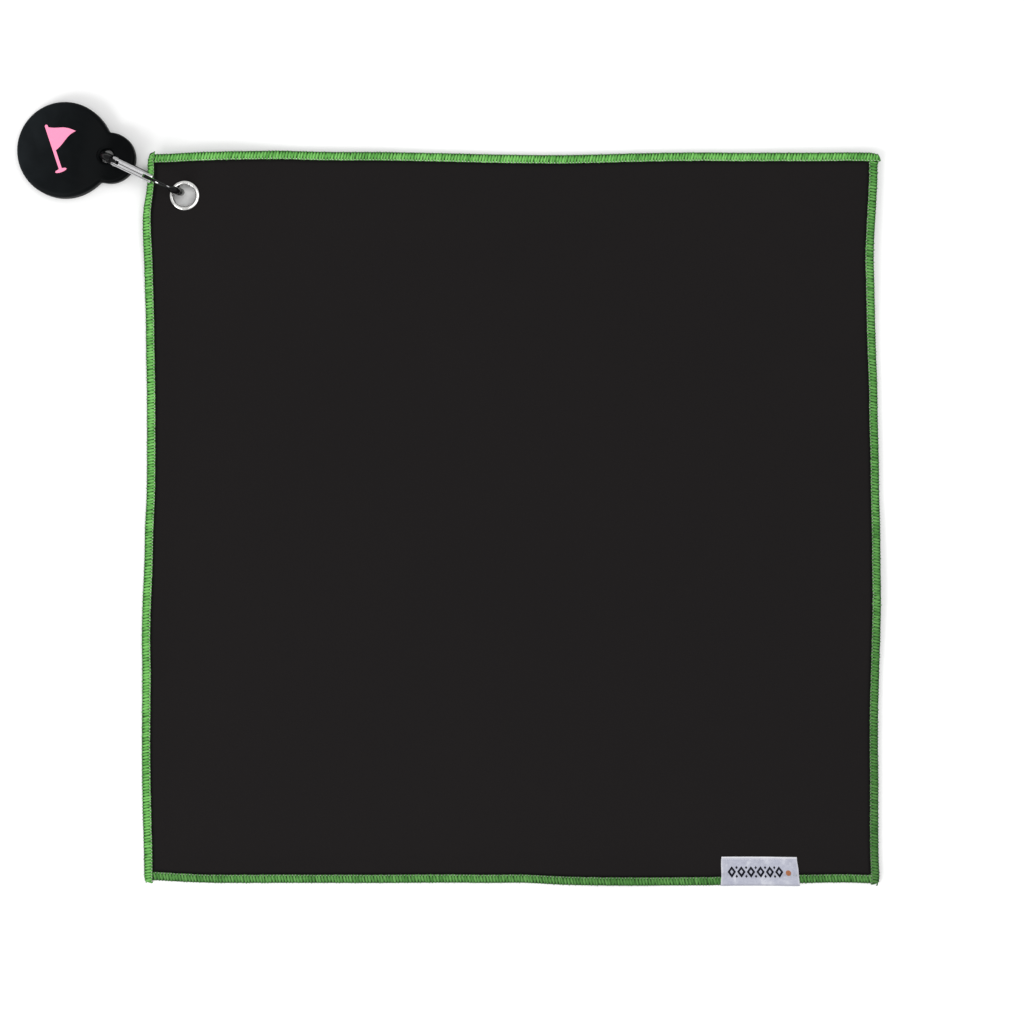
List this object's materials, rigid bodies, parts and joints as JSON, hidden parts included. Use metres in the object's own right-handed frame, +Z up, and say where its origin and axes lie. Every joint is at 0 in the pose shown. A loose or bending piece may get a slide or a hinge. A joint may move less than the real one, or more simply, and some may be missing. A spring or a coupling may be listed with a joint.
{
  "type": "golf towel",
  "caption": "Flat square microfibre golf towel with overlocked rim, fold-over label and corner eyelet, on a spring-gate carabiner with a swivelling magnet puck.",
  "frame": {"origin": "centre of the cloth's flat underside, on the surface it lies on", "axes": "+Z up from the surface through the cloth, +X towards the rim opposite the eyelet, +Y towards the eyelet rim, label at -Y"},
  "size_m": [0.4784, 0.4341, 0.0242],
  "materials": {
    "cloth": "matte short-pile microfibre, near black",
    "edge_thread": "green overlock thread",
    "label": "pale woven satin tape with a plain woven row of diamonds",
    "nickel": "bright nickel plate",
    "black_anodised": "satin black anodised",
    "gate_metal": "clear anodised, light brushing",
    "silicone": "satin black silicone with a plain pink flag print"
  },
  "bodies": {
    "towel": {"towel_cloth": "cloth", "edge_left": "edge_thread", "edge_top": "edge_thread", "edge_right": "edge_thread", "edge_bottom": "edge_thread", "label": "label", "eyelet": "nickel", "carabiner_body": "black_anodised"},
    "gate": {"gate": "gate_metal", "gate_rivet": "gate_metal"},
    "puck": {"magnet_puck": "silicone"}
  },
  "joints": [
    {"name": "gate_hinge", "type": "hinge", "parent": "towel", "child": "gate", "pos_m": [-0.21697, 0.19474, 0.02194], "axis": [0.436, 0.8939, 0.1045], "range_deg": [0, 24], "stiffness_Nm_per_rad": 0.02, "springref_deg": -20.05},
    {"name": "puck_swivel", "type": "hinge", "parent": "towel", "child": "puck", "pos_m": [-0.22331, 0.19956, 0.00445], "axis": [0, 0, 1], "range_deg": [-80, 70]}
  ]
}
